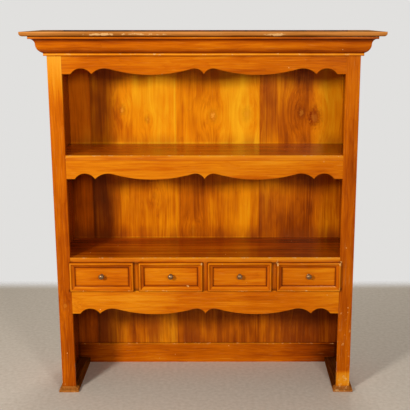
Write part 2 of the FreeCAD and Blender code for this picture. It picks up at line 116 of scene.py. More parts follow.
class Finish:
    """The nodes of a material or a world. Inputs that are sockets get linked, and other values are set."""

    def __init__(self, owner):
        self.owner = owner
        owner.use_nodes = True
        self.tree = owner.node_tree
        self.tree.nodes.clear()

    def add(self, kind, inputs=None, output=0, **settings):
        node = self.tree.nodes.new("ShaderNode" + kind)
        for setting, value in settings.items():
            setattr(node, setting, value)
        for socket, value in (inputs or {}).items():
            if isinstance(value, bpy.types.NodeSocket):
                self.tree.links.new(value, node.inputs[socket])
            else:
                node.inputs[socket].default_value = value
        return node.outputs[output] if node.outputs else node

    def attribute(self, name, output="Fac"):
        return self.add("Attribute", output=output, attribute_name=name)

    def place(self):
        return self.add("TexCoord", output="Object")

    def stretch(self, vector, scale):
        return self.add("VectorMath", {0: vector, 1: scale}, operation="MULTIPLY")

    def cloud(self, vector, detail=2.0, rough=0.5, scale=1.0):
        inputs = {"Vector": vector, "Scale": scale, "Detail": detail, "Roughness": rough}
        return self.add("TexNoise", inputs)

    def math(self, operation, *values):
        return self.add("Math", dict(enumerate(values)), operation=operation)

    def sum(self, *terms):
        """Adds (value, weight) pairs, each value taken from its middle of 0.5."""
        total = 0.5
        for value, weight in terms:
            centred = self.math("MULTIPLY_ADD", value, weight, -0.5 * weight)
            total = self.math("ADD", centred, total)
        return total

    def rise(self, value, low, high, bottom=0.0, top=1.0):
        """Goes smoothly from bottom to top as value goes from low to high."""
        return self.add(
            "MapRange",
            {"Value": value, "From Min": low, "From Max": high, "To Min": bottom, "To Max": top},
            interpolation_type="SMOOTHSTEP",
        )

    def ramp(self, value, stops):
        colours = self.add("ValToRGB", {"Fac": value})
        band = colours.node.color_ramp
        while len(band.elements) < len(stops):
            band.elements.new(0.5)
        for element, (position, colour) in zip(band.elements, stops):
            element.position = position
            element.color = colour
        return colours

    def mix(self, share, first, second, blend="MIX"):
        return self.add(
            "Mix", {0: share, 6: first, 7: second}, output=2, data_type="RGBA", blend_type=blend,
        )

    def surface(self, **inputs):
        shader = self.add("BsdfPrincipled", {name.replace("_", " "): v for name, v in inputs.items()})
        self.add("OutputMaterial", {"Surface": shader})
        return self.owner


def new_finish(name):
    return Finish(bpy.data.materials.new(name))


def piece_from(shape, name):
    """Turns a bmesh into an object at the origin."""
    mesh = bpy.data.meshes.new(name)
    shape.to_mesh(mesh)
    shape.free()
    piece = bpy.data.objects.new(name, mesh)
    scene.collection.objects.link(piece)
    return piece


# Camera, floor and light

CAMERA_PLACE = (0.08375, -3.27227, 1.52832)
CAMERA_TILT = 13.01  # degrees below level
CAMERA_TURN = -0.18
FLOOR_SIZE = 6.0
FLOOR_SPREAD = (0.55, 1.0, 0.0)  # the floor reaches further to the sides than to the back
FLOOR_FADE = (1.18, 1.36)
FLOOR_SPECKLE = [(0.3, srgb(208, 197, 180)), (0.7, srgb(222, 212, 197))]
ROOM = srgb(225, 224, 222)
ROOM_LIGHT = (1.0, 0.97, 0.94, 1.0)
ROOM_STRENGTH = 0.15
LAMP_TINT = (1.0, 0.97, 0.93)
LAMPS = [  # name, place, height aimed at, size and power of each softbox
    ("left_softbox", (-1.95, -3.0, 1.95), 0.85, 0.5, 92.0),
    ("back_softbox", (0.5, 3.2, 2.6), 0.8, 1.4, 48.0),
    ("right_softbox", (1.1, -3.2, 1.9), 0.85, 0.5, 36.0),
]


def set_up_camera():
    lens = bpy.data.cameras.new("photo_camera")
    lens.lens = 71.47
    lens.sensor_width = 36.0
    lens.shift_x = -0.057
    lens.clip_end = 60.0
    camera = bpy.data.objects.new("photo_camera", lens)
    camera.location = CAMERA_PLACE
    camera.rotation_euler = (math.radians(90 - CAMERA_TILT), 0.0, math.radians(CAMERA_TURN))
    scene.collection.objects.link(camera)
    scene.camera = camera


def lay_floor():
    """A pale floor that fades into the room behind the object."""
    shape = bmesh.new()
    bmesh.ops.create_grid(shape, x_segments=1, y_segments=1, size=FLOOR_SIZE)
    floor = piece_from(shape, "studio_floor")
    paint = new_finish("pale_floor")
    place = paint.place()
    reach = paint.add("VectorMath", {0: paint.stretch(place, FLOOR_SPREAD)}, operation="ABSOLUTE")
    sides = paint.add("SeparateXYZ", {0: reach}).node.outputs
    away = paint.math("MAXIMUM", sides[X], sides[Y])
    colour = paint.ramp(paint.cloud(place, scale=60.0, detail=3.0), FLOOR_SPECKLE)
    matt = paint.add("BsdfPrincipled", {"Base Color": colour, "Roughness": 0.75, "Specular IOR Level": 0.2})
    clear = paint.add("BsdfTransparent")
    fade = paint.rise(away, *FLOOR_FADE)
    paint.add("OutputMaterial", {"Surface": paint.add("MixShader", {0: fade, 1: matt, 2: clear})})
    floor.data.materials.append(paint.owner)


def hang_lamp(name, place, aim, size, power):
    """A square softbox at place, turned to the middle of the object at the height of aim."""
    softbox = bpy.data.lights.new(name, "AREA")
    softbox.shape = "SQUARE"
    softbox.size = size
    softbox.energy = power
    softbox.color = LAMP_TINT
    lamp = bpy.data.objects.new(name, softbox)
    lamp.location = place
    lamp.rotation_euler = (Vector((0.0, 0.0, aim)) - Vector(place)).to_track_quat("-Z", "Y").to_euler()
    scene.collection.objects.link(lamp)


def light_the_room():
    """The camera and reflections see a pale room, and the object is lit a little from all around."""
    room = Finish(bpy.data.worlds.new("studio"))
    rays = room.add("LightPath").node.outputs
    shown = rays["Is Camera Ray"]
    for kind in ("Is Glossy Ray", "Is Transmission Ray"):
        shown = room.math("MAXIMUM", shown, rays[kind])
    seen = room.add("Background", {"Color": ROOM})
    around = room.add("Background", {"Color": ROOM_LIGHT, "Strength": ROOM_STRENGTH})
    room.add("OutputWorld", {"Surface": room.add("MixShader", {0: shown, 1: around, 2: seen})})
    scene.world = room.owner
    for lamp in LAMPS:
        hang_lamp(*lamp)
    scene.view_settings.view_transform = "Standard"


# Timber: wear, grime, painted shade and painted highlights

SCUFFS = [  # where the varnish is knocked or rubbed through: middle, reach and strength
    ((-0.375, -0.200, 1.465), (0.070, 0.03, 0.007), 0.9),
    ((-0.220, -0.200, 1.466), (0.120, 0.03, 0.006), 0.75),
    ((0.060, -0.200, 1.467), (0.060, 0.03, 0.006), 0.6),
    ((0.265, -0.200, 1.465), (0.050, 0.03, 0.008), 0.95),
    ((0.450, -0.200, 1.471), (0.070, 0.03, 0.005), 0.65),
    ((0.665, -0.190, 1.466), (0.025, 0.04, 0.010), 0.5),
    ((-0.520, -0.120, 1.318), (0.015, 0.02, 0.006), 0.7),
    ((-0.258, -0.120, 1.316), (0.012, 0.02, 0.006), 0.7),
    ((-0.156, -0.120, 1.318), (0.018, 0.02, 0.006), 0.6),
    ((0.000, -0.120, 1.318), (0.008, 0.02, 0.008), 0.45),
    ((0.575, -0.120, 0.050), (0.035, 0.03, 0.030), 0.62),
    ((0.572, -0.130, 0.010), (0.060, 0.05, 0.020), 0.7),
    ((-0.572, -0.133, 0.003), (0.060, 0.02, 0.006), 0.7),
    ((0.545, -0.130, 0.556), (0.008, 0.02, 0.012), 1.0),
    ((0.600, -0.120, 0.552), (0.008, 0.02, 0.009), 0.8),
    ((0.292, -0.130, 0.558), (0.008, 0.02, 0.012), 1.0),
    ((-0.015, -0.130, 0.560), (0.010, 0.02, 0.008), 0.9),
    ((-0.173, -0.130, 0.447), (0.016, 0.02, 0.004), 0.6),
    ((-0.072, -0.130, 0.461), (0.006, 0.02, 0.006), 1.0),
    ((-0.250, -0.130, 0.452), (0.014, 0.02, 0.006), 0.7),
    ((0.362, -0.120, 0.366), (0.006, 0.02, 0.006), 0.9),
    ((0.430, -0.120, 0.349), (0.010, 0.02, 0.006), 0.7),
    ((-0.497, -0.110, 0.352), (0.012, 0.03, 0.008), 0.7),
    ((0.560, -0.120, 0.327), (0.006, 0.02, 0.008), 0.9),
    ((0.528, -0.120, 0.205), (0.012, 0.02, 0.012), 0.9),
    ((0.560, -0.120, 0.203), (0.006, 0.02, 0.008), 0.8),
    ((0.585, -0.120, 0.104), (0.008, 0.02, 0.008), 0.9),
    ((0.400, 0.015, 0.999), (0.060, 0.02, 0.006), 0.45),
    ((0.365, 0.120, 0.582), (0.030, 0.02, 0.006), 0.7),
]
SCUFF_LIMIT = 6.0  # past this, in squared reaches, a scuff is too faint to count
DENTS = 38.0  # along a rounded edge, per metre
NICKS = 140.0
# How much paler a rounded edge is painted: partly wear, partly a painted highlight
EDGE_WEAR_HIGHLIGHT_LIFT = 0.35
# Grime and painted shade: how far nearby timber is looked for, with how many rays and how wide a fan
GRIME_SHADE_REACH = 18 * MM
GRIME_SHADE_RAYS = 22
GRIME_SHADE_SPREAD = 0.98
GRIME_SHADE_LIFT = 0.4 * MM


def scuffed(place):
    """How worn the varnish is at a place, from 0 to 1."""
    most = 0.0
    for middle, reach, strength in SCUFFS:
        off = sum(((place[axis] - middle[axis]) / reach[axis]) ** 2 for axis in (X, Y, Z))
        if off < SCUFF_LIMIT:
            most = max(most, strength * math.exp(-off))
    return most


def dented(place):
    """How deep a rounded edge is dented at a place, from 0 to about 1."""
    return max(0.0, noise.noise(place * DENTS)) + 0.5 * max(0.0, noise.noise(place * NICKS))


def ray_fan(count):
    """Directions spread evenly over a sphere."""
    turn = math.pi * (3 - math.sqrt(5))
    for step in range(count):
        height = 1 - 2 * (step + 0.5) / count
        ring = math.sqrt(1 - height * height)
        yield Vector((ring * math.cos(turn * step), ring * math.sin(turn * step), height))


def closeness(timber, vert, fan):
    """How much other timber stands close to a point, from 0 to 1."""
    start = vert.co + vert.normal * GRIME_SHADE_LIFT
    closed = 0.0
    for spoke in fan:
        hit = timber.ray_cast(start, (vert.normal + spoke * GRIME_SHADE_SPREAD).normalized(), GRIME_SHADE_REACH)
        if hit[0] is not None:
            closed += 1 - hit[3] / GRIME_SHADE_REACH
    return closed / len(fan)


def paint_grime_and_shade(pieces):
    """Old wax and dust gather where other timber is close, and the same darkening is painted shade in
    corners and crevices. Each piece gets that closeness as a layer.
    """
    timber, _ = tree_of({piece.name: piece for piece in pieces})
    fan = list(ray_fan(GRIME_SHADE_RAYS))
    for piece in pieces:
        layer = piece.data.attributes.new("grime_and_shade", "FLOAT", "POINT")
        layer.data.foreach_set("value", [closeness(timber, vert, fan) for vert in piece.data.vertices])


def tree_of(solids):
    """All the solids as one search tree, with the name of the solid that owns each of its faces."""
    corners, faces, owners = [], [], []
    for name, solid in solids.items():
        first = len(corners)
        corners.extend(vert.co.copy() for vert in solid.data.vertices)
        faces.extend([first + corner for corner in face.vertices] for face in solid.data.polygons)
        owners.extend([name] * len(solid.data.polygons))
    return BVHTree.FromPolygons(corners, faces), owners


# Timber: shapes

MERGE = 0.02 * MM
FLAT = math.radians(0.4)  # faces that meet flatter than this are one face
CORNER = math.radians(30)  # open edges sharper than this are rounded
SQUARE = math.radians(65)  # edges still sharper than this get a small chamfer
SEAM = 0.4 * MM  # width of that chamfer
PROBE = 0.8 * MM  # how far outside an edge another board is looked for
TOUCH = 1.0 * MM  # how near it has to be there
UNDER_SKIN = 0.2 * MM
SKIN = 1.0 * MM
LIGHT_RUB = 0.04
FACING = 0.5  # a face whose normal reaches this far along an axis counts as facing that way
TIMBER_RUN = 40.0  # each piece is cut from its own place in a block of timber this long

cad_tree, cad_owners = tree_of(frame["nodes"])


def copy_of(node):
    shape = bmesh.new()
    shape.from_mesh(frame["nodes"][node].data)
    return shape


def joined(shape):
    """Joins the loose triangles of a CAD copy into whole flat faces."""
    bmesh.ops.remove_doubles(shape, verts=shape.verts, dist=MERGE)
    bmesh.ops.dissolve_limit(shape, angle_limit=FLAT, verts=shape.verts, edges=shape.edges)


def stick_side(face, middle, low, high):
    """Which stick a face belongs to, told by a point just under the face."""
    inside = face.calc_center_median() - face.normal * UNDER_SKIN - middle
    across = (high[X] - low[X]) / 2 - abs(inside[X])
    up = (high[Z] - low[Z]) / 2 - abs(inside[Z])
    if across < up:
        return "right" if inside[X] > 0 else "left"
    return "top" if inside[Z] > 0 else "bottom"


def sticks_of(node):
    """The four mitred sticks of a drawer moulding, each as a copy of its own."""
    low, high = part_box(node)
    middle = (low + high) / 2
    sticks = []
    for side in ("left", "right", "bottom", "top"):
        shape = copy_of(node)
        strangers = [face for face in shape.faces if side != stick_side(face, middle, low, high)]
        bmesh.ops.delete(shape, geom=strangers, context="FACES")
        sticks.append(shape)
    return sticks


def cut_at(shape, axis, place):
    """Cuts a board through, square to one axis."""
    normal = Vector((0, 0, 0))
    normal[axis] = 1
    geom = list(shape.verts) + list(shape.edges) + list(shape.faces)
    bmesh.ops.bisect_plane(shape, geom=geom, plane_co=normal * place, plane_no=normal, dist=MERGE)


def cut_across(shape, axis, spacing):
    """Cuts a board at even steps along one axis."""
    places = [vert.co[axis] for vert in shape.verts]
    low, high = min(places), max(places)
    count = int((high - low) / spacing)
    for step in range(1, count):
        cut_at(shape, axis, low + (high - low) * step / count)


def butted(edge, node):
    """Whether an edge meets another board, so that no plane ever rounded it."""
    middle = (edge.verts[0].co + edge.verts[1].co) / 2
    outward = edge.link_faces[0].normal + edge.link_faces[1].normal
    near = cad_tree.find_nearest_range(middle + outward.normalized() * PROBE, TOUCH)
    return any(cad_owners[index] != node for _, _, index, _ in near)


def outer_corners(shape, angle):
    return [
        edge for edge in shape.edges
        if len(edge.link_faces) == 2 and edge.calc_face_angle_signed() > angle
    ]


def round_over(shape, edges, radius, segments):
    made = bmesh.ops.bevel(
        shape, geom=edges, offset=radius, offset_type="OFFSET", segments=segments, profile=0.5,
        affect="EDGES", clamp_overlap=False,
    )
    return set(made["faces"])


def soften_edges(shape, node, arris, nick, edge_wear, rubbed):
    """Rounds the open corners of a board, and wears and nicks the middle of each rounding, which is also
    painted paler, partly for wear and partly as a painted highlight.
    """
    open_corners = [edge for edge in outer_corners(shape, CORNER) if not butted(edge, node)]
    rounded = round_over(shape, open_corners, arris, 2)
    round_over(shape, outer_corners(shape, SQUARE), SEAM, 1)
    worn = shape.verts.layers.float.new("worn")
    wear_and_highlight = shape.verts.layers.float.new("worn_edge_and_highlight")
    shape.normal_update()
    for vert in shape.verts:
        vert[worn] = max(scuffed(vert.co), rubbed(vert.co) if callable(rubbed) else rubbed)
        if vert.link_faces and all(face in rounded for face in vert.link_faces):
            vert[worn] = max(vert[worn], edge_wear)
            vert[wear_and_highlight] = edge_wear
            vert.co -= vert.normal * dented(vert.co) * nick


def islands(shape):
    """The separate solids of a shape, as lists of vertices."""
    left = set(shape.verts)
    for start in shape.verts:
        if start not in left:
            continue
        left.remove(start)
        island = [start]
        for vert in island:
            for edge in vert.link_edges:
                other = edge.other_vert(vert)
                if other in left:
                    left.remove(other)
                    island.append(other)
        yield island


def spread(verts, axis):
    places = [vert.co[axis] for vert in verts]
    return max(places) - min(places)


def lay_grain(shape, tone, stain_and_shade):
    """Gives each solid its own run of timber: along the grain, across it and through it, in metres."""
    grain = shape.verts.layers.float_vector.new("timber")
    shade = shape.verts.layers.float.new("tone")
    stain_and_shade_layer = shape.verts.layers.float.new("stain_and_shade")
    wear_and_highlight = shape.verts.layers.float["worn_edge_and_highlight"]
    for island in islands(shape):
        axes = sorted((X, Y, Z), key=lambda axis: -spread(island, axis))
        start = Vector([dice.uniform(0, TIMBER_RUN) for _ in axes])
        for vert in island:
            vert[grain] = start + Vector([vert.co[axis] for axis in axes])
            # Rounded edges are painted paler, partly for wear and partly as a painted highlight
            vert[shade] = (tone(vert.co) if callable(tone) else tone) + EDGE_WEAR_HIGHLIGHT_LIFT * vert[wear_and_highlight]
            vert[stain_and_shade_layer] = stain_and_shade(vert.co) if stain_and_shade else 0.0


def dress(node, finish, slot, arris=1.0, nick=0.5, tone=0.5, edge_wear=0.35, grid=14.0, stain_and_shade=None,
          rubbed=LIGHT_RUB, cuts=(), rear=None):
    """Replaces a CAD node by its finished copy: rounded, nicked, grained and varnished.

    The arris, the nicks and the grid of cuts that carries the layers are in millimetres. The tone and the
    rubbing are numbers, or functions of a place on the piece, and stain_and_shade is such a function: a real
    stain in places and painted shade in others.
    """
    shapes = sticks_of(node) if node.endswith("moulding") else [copy_of(node)]
    whole = bmesh.new()
    for shape in shapes:
        joined(shape)
        for axis in (X, Y, Z):
            cut_across(shape, axis, grid * MM)
        for axis, place in cuts:
            cut_at(shape, axis, place)
        soften_edges(shape, node, arris * MM, nick * MM, edge_wear, rubbed)
        lay_grain(shape, tone, stain_and_shade)
        part = bpy.data.meshes.new("part")
        shape.to_mesh(part)
        shape.free()
        whole.from_mesh(part)
        bpy.data.meshes.remove(part)
    for face in whole.faces:
        face.smooth = True
    piece = piece_from(whole, node + "_finished")
    piece.data.materials.append(finish)
    if rear:
        turn_rear(piece, rear)
    normals = piece.modifiers.new("flat_faces", "WEIGHTED_NORMAL")
    normals.weight = 100
    normals.keep_sharp = True
    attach(piece, frame["nodes"][node]["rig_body"])
    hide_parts(node)
    return piece


def turn_rear(piece, finish):
    """Leaves the face that stands against the wall, and the top end, in another finish."""
    piece.data.materials.append(finish)
    rearmost = max(vert.co[Y] for vert in piece.data.vertices) - SKIN
    top = max(vert.co[Z] for vert in piece.data.vertices) - SKIN
    for face in piece.data.polygons:
        on_rear = face.normal[Y] > FACING and face.center[Y] > rearmost
        if on_rear or face.normal[Z] > FACING and face.center[Z] > top:
            face.material_index = 1


# Timber: finishes

HONEY = [
    (0.0, srgb(96, 32, 0)), (0.3, srgb(166, 70, 0)), (0.5, srgb(204, 101, 2)),
    (0.7, srgb(226, 132, 13)), (1.0, srgb(244, 166, 42)),
]
WORN_HONEY = [
    (0.0, srgb(84, 36, 6)), (0.3, srgb(148, 86, 28)), (0.5, srgb(188, 116, 48)),
    (0.7, srgb(212, 136, 66)), (1.0, srgb(238, 172, 100)),
]
SATIN_AMBER = [
    (0.0, srgb(60, 18, 0)), (0.3, srgb(144, 60, 0)), (0.5, srgb(200, 101, 2)),
    (0.7, srgb(238, 142, 6)), (1.0, srgb(255, 184, 26)),
]
# The filler's red-brown, made redder as painted shade, since it stands in the shadow of the left side
RED_AMBER = [
    (0.0, srgb(68, 20, 0)), (0.3, srgb(154, 63, 0)), (0.5, srgb(208, 96, 3)),
    (0.7, srgb(240, 124, 9)), (1.0, srgb(255, 156, 28)),
]
GREY_BROWN = [(0.0, srgb(112, 78, 46)), (0.5, srgb(168, 126, 82)), (1.0, srgb(202, 166, 120))]
PLANED_BROWN = [(0.0, srgb(96, 56, 24)), (0.5, srgb(156, 104, 54)), (1.0, srgb(196, 148, 92))]
PALE_STRAW = [(0.0, srgb(150, 104, 58)), (0.5, srgb(196, 150, 94)), (1.0, srgb(222, 184, 130))]
RED_BROWN = srgb(138, 60, 16)
KNOT_TINT = (0.38, 0.17, 0.1, 1.0)
KNOT_HEART = srgb(252, 166, 50)
VARNISH_SHEEN = (1.0, 0.72, 0.4, 1.0)

# Each layer of figure: features per metre along the grain, across it, detail and weight
FIGURE = [
    (1.4, 8.0, 3.0, 0.4), (2.0, 30.0, 4.0, 0.36), (4.0, 80.0, 3.0, 0.3), (7.0, 170.0, 3.0, 0.36),
    (12.0, 420.0, 2.0, 0.25),
]
SHELF_FIGURE = [
    (0.9, 12.0, 3.0, 0.6), (1.4, 46.0, 4.0, 0.7), (5.0, 150.0, 3.0, 0.5), (12.0, 420.0, 2.0, 0.25),
]
PLAIN_FIGURE = [(1.4, 8.0, 3.0, 0.6), (2.2, 34.0, 4.0, 0.6), (9.0, 300.0, 3.0, 0.3)]
BACK_FIGURE = [
    (1.1, 6.0, 3.0, 0.5), (4.5, 9.0, 3.0, 0.52), (1.8, 26.0, 4.0, 0.5), (3.0, 80.0, 3.0, 0.38),
    (5.0, 190.0, 2.0, 0.24),
]

# Each knot: place across, height, radius, how dark its rim is and how pale its heart is
STILE_KNOTS = [(-0.5744, 0.3766, 0.009, 0.35, 0.2)]
BACK_KNOTS = [
    (-0.357, 1.143, 0.009, 0.5, 0.55),
    (-0.250, 1.103, 0.007, 0.4, 0.35),
    (0.029, 1.118, 0.012, 0.4, 0.8),
    (0.172, 1.125, 0.012, 0.25, 0.15),
    (0.405, 1.132, 0.012, 0.6, 0.25),
    (0.460, 1.112, 0.016, 1.0, 0.2),
    (-0.226, 0.770, 0.007, 0.3, 0.1),
    (-0.060, 0.610, 0.010, 0.5, 0.05),
    (0.350, 0.250, 0.008, 0.3, 0.1),
]
KNOT_SQUEEZE = 0.62  # a knot is this much narrower than it is high
KNOT_PUSH = 0.85  # share of its distance by which grain beside a knot is pushed aside
KNOT_RAGGED = 1.8
KNOT_GLOW = 0.06
GRAIN_DRIFT = 36 * MM
RINGS = 9.0  # late-wood lines in each swell of the broad figure
RING_SHARPNESS = 5.0
RING_WEIGHT = 0.05
BLOTCH_WEIGHT = 0.45
CHIP_CELLS = 70.0
CHIP_RAGGED = 6 * MM
CHIP_LUCK = 0.16  # share of the cells that are chipped where the varnish is fully worn
HAIRLINES = (14.0, 600.0, 600.0)
FIBRE_DEPTH = 0.4 * MM


def knot(wood, place, ripple, middle, radius):
    """A knot in an upright board.

    Gives how far it pushes the grain aside, its dark rim, its pale heart and the pale wood round it.
    """
    offset = wood.add("VectorMath", {0: place, 1: middle}, operation="SUBTRACT")
    oval = wood.stretch(offset, (1 / radius, 0.0, KNOT_SQUEEZE / radius))
    away = wood.add("VectorMath", {0: oval}, output=1, operation="LENGTH")
    near = wood.math("EXPONENT", wood.math("MULTIPLY", wood.math("MULTIPLY", away, away), -0.06))
    sideways = wood.add("SeparateXYZ", {0: offset})
    push = wood.math("MULTIPLY", wood.math("MULTIPLY", sideways, near), -KNOT_PUSH)
    uneven = wood.math("ADD", away, ripple)
    ring = wood.math("MULTIPLY", wood.rise(uneven, 1.6, 1.0), wood.rise(uneven, 0.3, 0.9))
    crescent = wood.math("MULTIPLY", ring, wood.rise(sideways, 1.5 * radius, -radius, 0.25, 1.0))
    halo = wood.rise(uneven, 2.6, 0.5, 0.0, 0.9)
    rim = wood.math("MAXIMUM", crescent, halo)
    return push, rim, wood.rise(uneven, 0.95, 0.35), wood.rise(uneven, 3.4, 1.4)


def parted_grain(wood, place, knots):
    """The run of the grain, which wanders and parts round the knots, and three masks of all the knots."""
    grain = wood.attribute("timber", "Vector")
    drift = wood.cloud(wood.stretch(grain, (1.6, 5.0, 5.0)), detail=2.0)
    aside = wood.math("MULTIPLY_ADD", drift, GRAIN_DRIFT, -GRAIN_DRIFT / 2)
    ragged = wood.cloud(place, scale=130.0, detail=2.0)
    ripple = wood.math("MULTIPLY_ADD", ragged, KNOT_RAGGED, -KNOT_RAGGED / 2)
    rims = hearts = glow = 0.0
    for across, height, radius, dark, light in knots:
        push, rim, heart, pale_wood = knot(wood, place, ripple, (across, 0.0, height), radius)
        aside = wood.math("ADD", aside, push)
        rims = wood.math("MAXIMUM", rims, wood.math("MULTIPLY", rim, dark))
        hearts = wood.math("MAXIMUM", hearts, wood.math("MULTIPLY", heart, light))
        glow = wood.math("MAXIMUM", glow, pale_wood)
    grain = wood.add("VectorMath", {0: grain, 1: wood.add("CombineXYZ", {1: aside, 2: aside})})
    return grain, rims, hearts, glow


def chips(wood, place, worn):
    """Small flakes of varnish knocked off, more of them where the timber is worn."""
    ragged = wood.add("TexNoise", {"Vector": place, "Scale": 220.0, "Detail": 2.0}, output="Color")
    place = wood.add(
        "VectorMath", {0: ragged, 1: (CHIP_RAGGED, CHIP_RAGGED, CHIP_RAGGED), 2: place},
        operation="MULTIPLY_ADD",
    )
    cells = wood.add("TexVoronoi", {"Vector": place, "Scale": CHIP_CELLS}, output="Distance")
    luck = wood.add("SeparateColor", {0: cells.node.outputs["Color"]})
    struck = wood.math("LESS_THAN", luck, wood.math("MULTIPLY", worn, CHIP_LUCK))
    return wood.math("MULTIPLY", struck, wood.rise(cells, 0.19, 0.09))


def lost_varnish(wood, place, grain):
    """Where the varnish is gone: rubbed patches, chips and hairline scratches."""
    rubbing = wood.attribute("worn")
    patches = wood.cloud(place, scale=48.0, detail=5.0, rough=0.68)
    worn = wood.rise(wood.math("MULTIPLY_ADD", rubbing, 0.6, patches), 0.84, 0.95)
    worn = wood.math("MAXIMUM", worn, chips(wood, place, rubbing))
    hairlines = wood.rise(wood.cloud(wood.stretch(grain, HAIRLINES), detail=1.0), 0.66, 0.75)
    scratched = wood.math("MULTIPLY", hairlines, wood.math("MULTIPLY_ADD", rubbing, 0.6, 0.12))
    return wood.math("MAXIMUM", worn, scratched)


def timber_finish(name, stops, layers, bare, grime_and_shade, gloss, shine=0.12, stain_and_shade=None, knots=()):
    """Varnished or bare timber, its grain running along the first part of the timber layer.

    The stops are its colours from dark to pale. Bare is what shows where the varnish is gone.
    grime_and_shade is what has gathered in corners, together with the painted shade there. stain_and_shade
    is the colour that the
    stain layer brings: a real stain in places and painted shade in others.
    """
    wood = new_finish(name)
    place = wood.place()
    grain, rims, hearts, glow = parted_grain(wood, place, knots)
    figures = [
        (wood.cloud(wood.stretch(grain, (along, across, across)), detail=detail, rough=0.58), weight)
        for along, across, detail, weight in layers
    ]
    broad, fibres = figures[0][0], figures[-1][0]
    late = wood.math("POWER", wood.math("FRACT", wood.math("MULTIPLY", broad, RINGS)), RING_SHARPNESS)
    blotch = wood.cloud(place, scale=3.5, detail=2.0)
    value = wood.sum(*figures, (late, -RING_WEIGHT), (blotch, BLOTCH_WEIGHT))
    value = wood.math("ADD", value, wood.math("SUBTRACT", wood.attribute("tone"), 0.5))
    if knots:
        value = wood.math("MULTIPLY_ADD", glow, KNOT_GLOW, value)
    colour = wood.ramp(value, stops)
    if stain_and_shade:
        # The stain layer, a real stain on the right board and painted shade elsewhere, soaks in along the
        # figure
        soaked = wood.rise(wood.sum((figures[1][0], 0.6), (figures[2][0], 0.7)), 0.62, 0.38, 0.4, 1.1)
        colour = wood.mix(wood.math("MULTIPLY", wood.attribute("stain_and_shade"), soaked), colour, stain_and_shade)
    if knots:
        colour = wood.mix(rims, colour, KNOT_TINT, blend="MULTIPLY")
        colour = wood.mix(hearts, colour, KNOT_HEART)
    # Grime, and painted shade in corners and crevices: darker where other timber is close
    colour = wood.mix(wood.rise(wood.attribute("grime_and_shade"), 0.2, 0.75, 0.0, 0.85), colour, grime_and_shade)
    worn = lost_varnish(wood, place, grain)
    colour = wood.mix(worn, colour, bare)
    relief = wood.sum((fibres, 0.6), (late, -0.4), (worn, -0.5))
    bump = wood.add("Bump", {"Strength": 0.3, "Distance": FIBRE_DEPTH, "Height": relief})
    roughness = wood.sum((blotch, 0.22), (fibres, 0.1), (worn, 0.3))
    roughness = wood.math("ADD", roughness, gloss - 0.5)
    return wood.surface(
        Base_Color=colour, Roughness=roughness, Normal=bump, Specular_IOR_Level=shine,
        Specular_Tint=VARNISH_SHEEN,
    )


varnished = timber_finish(
    "honey_varnish", HONEY, FIGURE, bare=srgb(236, 180, 104), grime_and_shade=srgb(48, 12, 0), gloss=0.34,
    knots=STILE_KNOTS,
)
shelf_varnish = timber_finish(
    "shelf_varnish", HONEY, SHELF_FIGURE, bare=srgb(226, 168, 96), grime_and_shade=srgb(36, 10, 0), gloss=0.34,
    shine=0.3,
)
worn_varnish = timber_finish(
    "worn_varnish", WORN_HONEY, FIGURE, bare=srgb(228, 176, 112), grime_and_shade=srgb(44, 18, 4), gloss=0.72,
    shine=0.0,
)
back_varnish = timber_finish(
    "satin_back_varnish", SATIN_AMBER, BACK_FIGURE, bare=srgb(240, 170, 84), grime_and_shade=srgb(40, 10, 0),
    gloss=0.42, stain_and_shade=RED_BROWN, knots=BACK_KNOTS,
)
# The filler board: its red-brown, partly its own colour and partly painted shade
filler_varnish_and_shade = timber_finish(
    "red_filler_varnish_and_shade", RED_AMBER, BACK_FIGURE, bare=srgb(240, 170, 84), grime_and_shade=srgb(40, 10, 0),
    gloss=0.42, stain_and_shade=RED_BROWN,
)
bare_back = timber_finish(
    "bare_back_timber", GREY_BROWN, PLAIN_FIGURE, bare=srgb(206, 170, 124), grime_and_shade=srgb(70, 48, 30),
    gloss=0.75, shine=0.05,
)
planed = timber_finish(
    "planed_inner_timber", PLANED_BROWN, PLAIN_FIGURE, bare=srgb(200, 160, 104), grime_and_shade=srgb(70, 44, 24),
    gloss=0.65,
)
pale = timber_finish(
    "pale_drawer_timber", PALE_STRAW, PLAIN_FIGURE, bare=srgb(224, 190, 138), grime_and_shade=srgb(110, 78, 46),
    gloss=0.6,
)


# Timber: tones. A tone of 0 is the darkest colour of a finish and 1 the palest.

def between(place, bands):
    """Reads a value off a line of (place, value) bands."""
    for (near, first), (far, second) in zip(bands, bands[1:]):
        if place <= far:
            share = max(0.0, (place - near) / (far - near))
            return first + (second - first) * share
    return bands[-1][1]


SHELF_TONE = 0.30
SHELF_EDGE_TONE = 0.49
# The worn line along the top of each shelf's front edge, also painted pale as a painted highlight
LOWER_NOSE_HIGHLIGHT_TONE = 0.68
UPPER_NOSE_HIGHLIGHT_TONE = 0.60
# Along a shelf, how much paler or darker it is than SHELF_TONE
LOWER_SHELF_BANDS = [
    (-0.56, -0.10), (-0.46, 0.0), (-0.30, 0.04), (-0.20, -0.04), (-0.14, -0.10), (-0.06, -0.04),
    (0.12, -0.04), (0.22, -0.12), (0.40, -0.13), (0.52, -0.22),
]
UPPER_SHELF_BANDS = [(-0.50, 0.07), (0.0, 0.03), (0.38, 0.05), (0.46, -0.06), (0.58, -0.12)]
SHELF_DEPTH_BANDS = [(-0.10, 0.4), (0.15, 1.2)]  # those differences show most at the back
SHELF_FRONT_BANDS = [(-0.11, 0.06), (0.0, 0.0)]


def on_nose_line(spot):
    return any(abs(spot[Z] - shelf) < NOSE_LINE + HAIR for shelf in SHELF_TOPS)


